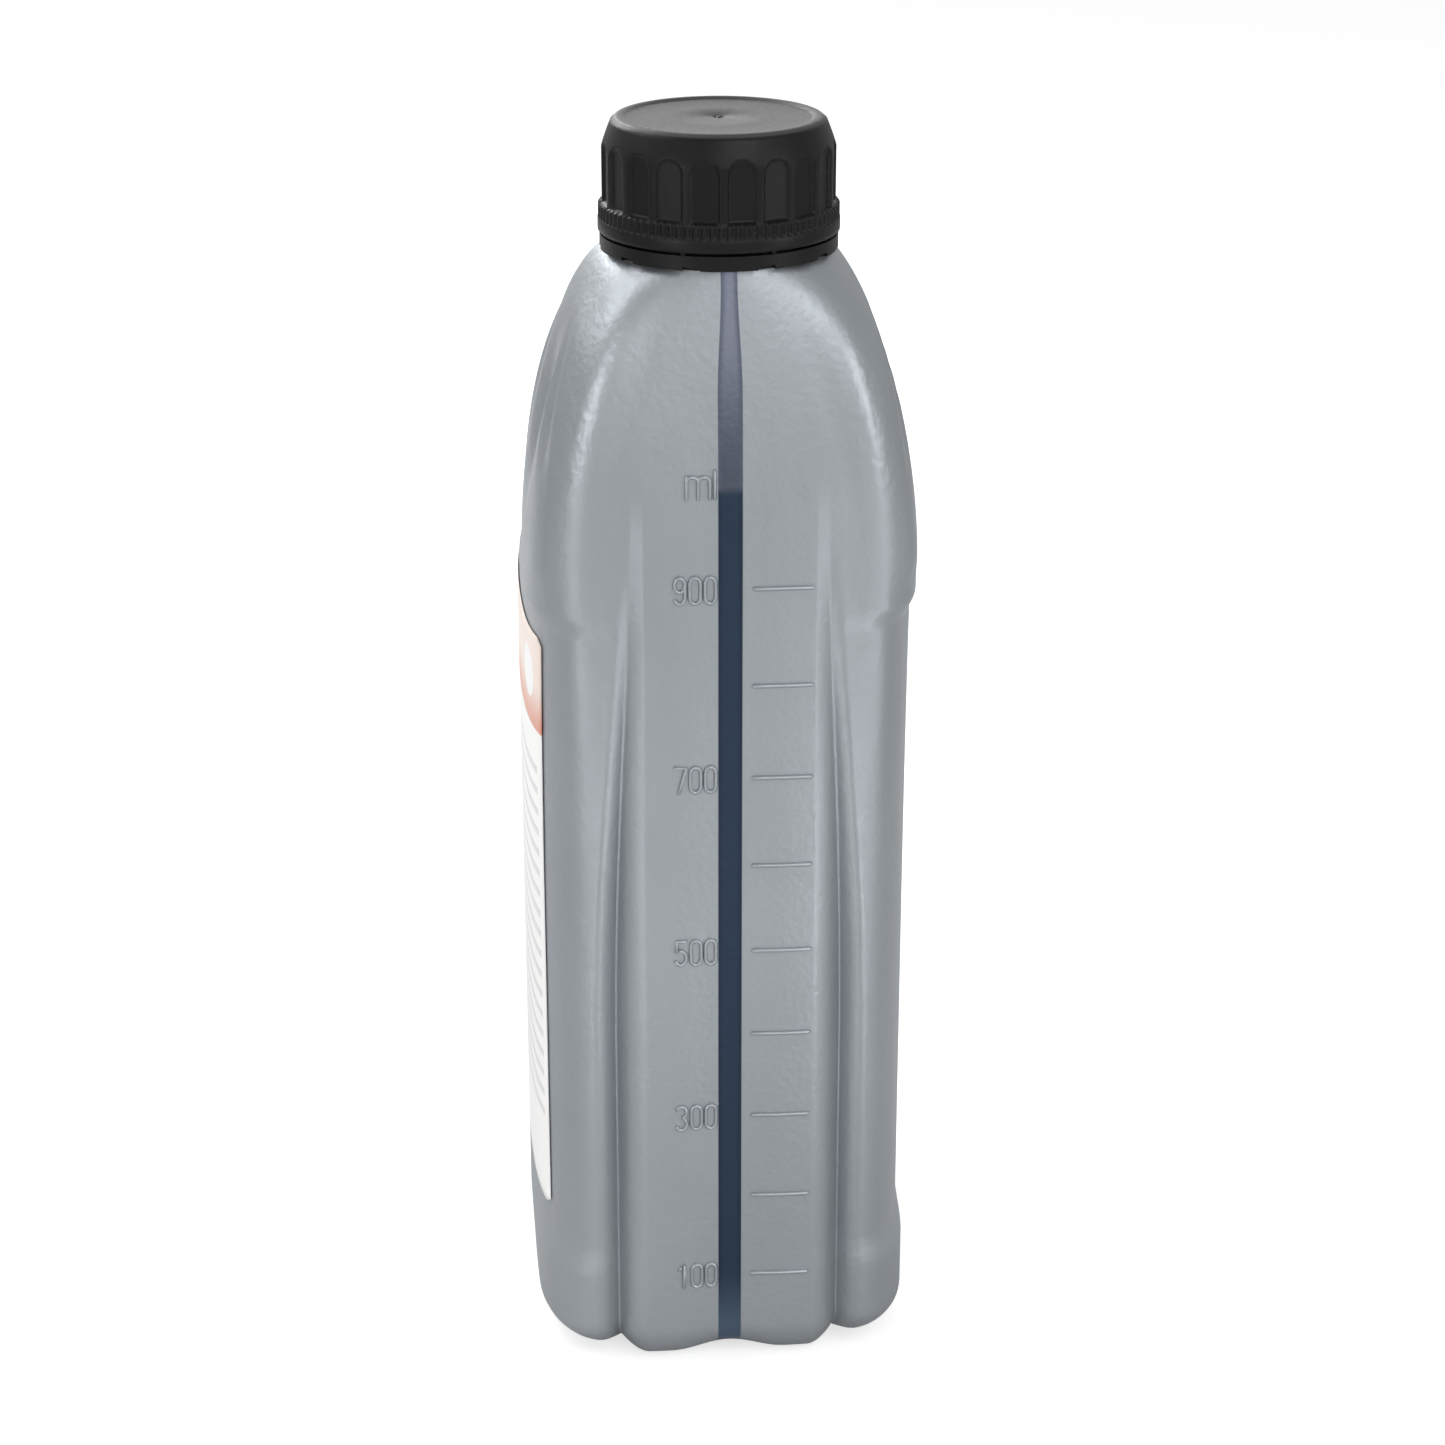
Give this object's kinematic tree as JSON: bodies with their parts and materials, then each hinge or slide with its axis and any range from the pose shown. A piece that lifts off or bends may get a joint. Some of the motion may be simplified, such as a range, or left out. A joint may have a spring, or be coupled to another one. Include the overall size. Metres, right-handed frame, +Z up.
{
  "type": "transmission fluid bottle",
  "caption": "Grey blow-moulded one-litre fluid bottle with an offset neck, view stripe and volume scale on its narrow side, a ribbed black screw cap and a front label.",
  "frame": {"origin": "Middle of the object's box on the plane that its base stands on.", "axes": "Z is up along the neck's axis. X runs across the wide side, with the scale side and the neck towards +X. Y runs from front to back, with the front label facing -Y."},
  "size_m": [0.0934, 0.0745, 0.2401],
  "materials": {
    "grey_hdpe": "silver-grey satin polyethylene with a fine orange-peel skin and a translucent blue-grey view stripe",
    "black_cap": "black polypropylene, satin, with moulded ribs",
    "white_liner": "white foamed polyethylene sealing disc",
    "label_film": "printed white plastic film",
    "dark_fluid": "clear dark oil"
  },
  "bodies": {
    "bottle_body": {"bottle": "grey_hdpe", "tamper_band": "black_cap", "front_label": "label_film", "fluid": "dark_fluid"},
    "liner_body": {"liner": "white_liner"},
    "cap_body": {"cap": "black_cap"}
  },
  "joints": [
    {"name": "cap_lift", "type": "slide", "parent": "bottle_body", "child": "liner_body", "axis": [0, 0, 1], "range_m": [0, 0.0071]},
    {"name": "cap_turn", "type": "hinge", "parent": "liner_body", "child": "cap_body", "pos_m": [0.0232, 0, 0.228], "axis": [0, 0, 1], "range_deg": [0, 630]}
  ],
  "couplings": [
    {"joint": "cap_lift", "follows": "cap_turn", "m_per_rad": 0.00063662}
  ]
}
